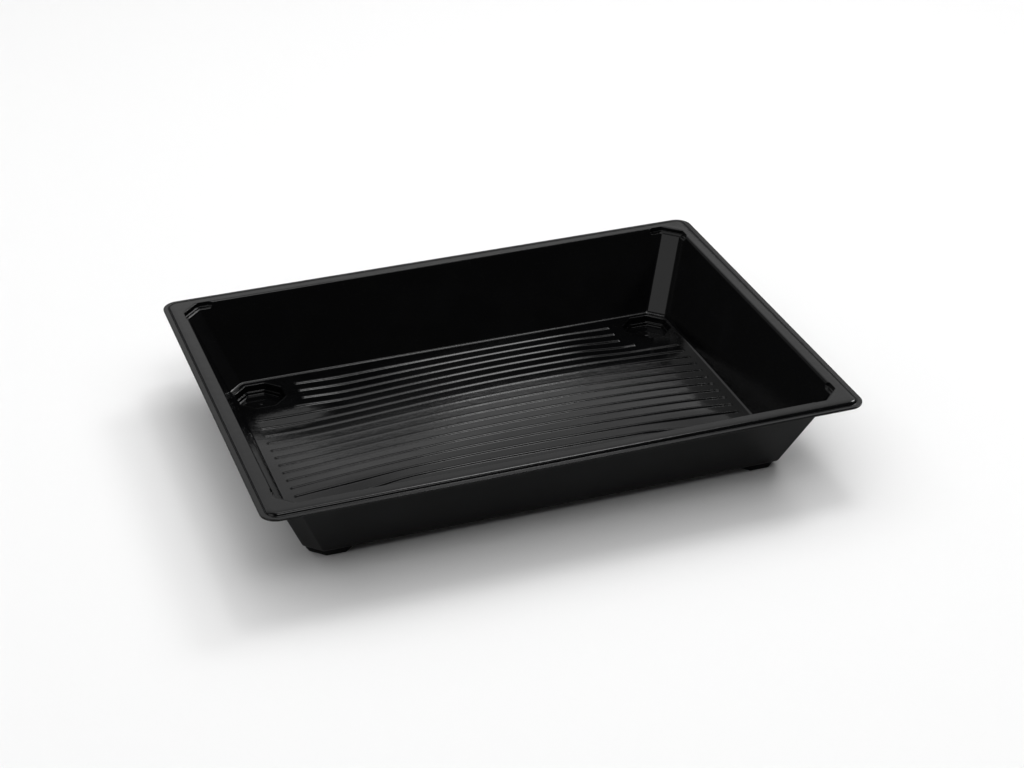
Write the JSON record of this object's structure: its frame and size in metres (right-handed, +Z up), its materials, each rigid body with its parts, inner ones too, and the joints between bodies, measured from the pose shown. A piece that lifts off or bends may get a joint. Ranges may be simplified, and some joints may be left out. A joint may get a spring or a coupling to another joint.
{
  "type": "paint roller tray",
  "caption": "Rectangular thermoformed paint roller tray with a flat flanged rim, sloped walls, a crowned ribbed roll-off floor and hollow stepped corner feet.",
  "frame": {"origin": "on the ground, at the middle of the tray's footprint, level with the undersides of the feet", "axes": "+X along the long side and along the ribs, +Y across the ribs towards the back wall, +Z up out of the open top"},
  "size_m": [0.4, 0.3, 0.064],
  "materials": {
    "tray_plastic": "satin-gloss black sheet, smooth with faint forming texture and fine handling scratches"
  },
  "bodies": {
    "root": {"rim_flange": "tray_plastic", "outer_lip": "tray_plastic", "back_wall": "tray_plastic", "front_wall": "tray_plastic", "left_wall": "tray_plastic", "right_wall": "tray_plastic", "back_left_facet": "tray_plastic", "back_right_facet": "tray_plastic", "front_left_facet": "tray_plastic", "front_right_facet": "tray_plastic", "back_left_shoulder": "tray_plastic", "back_right_shoulder": "tray_plastic", "front_left_shoulder": "tray_plastic", "front_right_shoulder": "tray_plastic", "floor_panel": "tray_plastic", "long_ribs": "tray_plastic", "back_short_ribs": "tray_plastic", "front_short_ribs": "tray_plastic", "back_left_foot": "tray_plastic", "back_right_foot": "tray_plastic", "front_left_foot": "tray_plastic", "front_right_foot": "tray_plastic"}
  },
  "joints": []
}
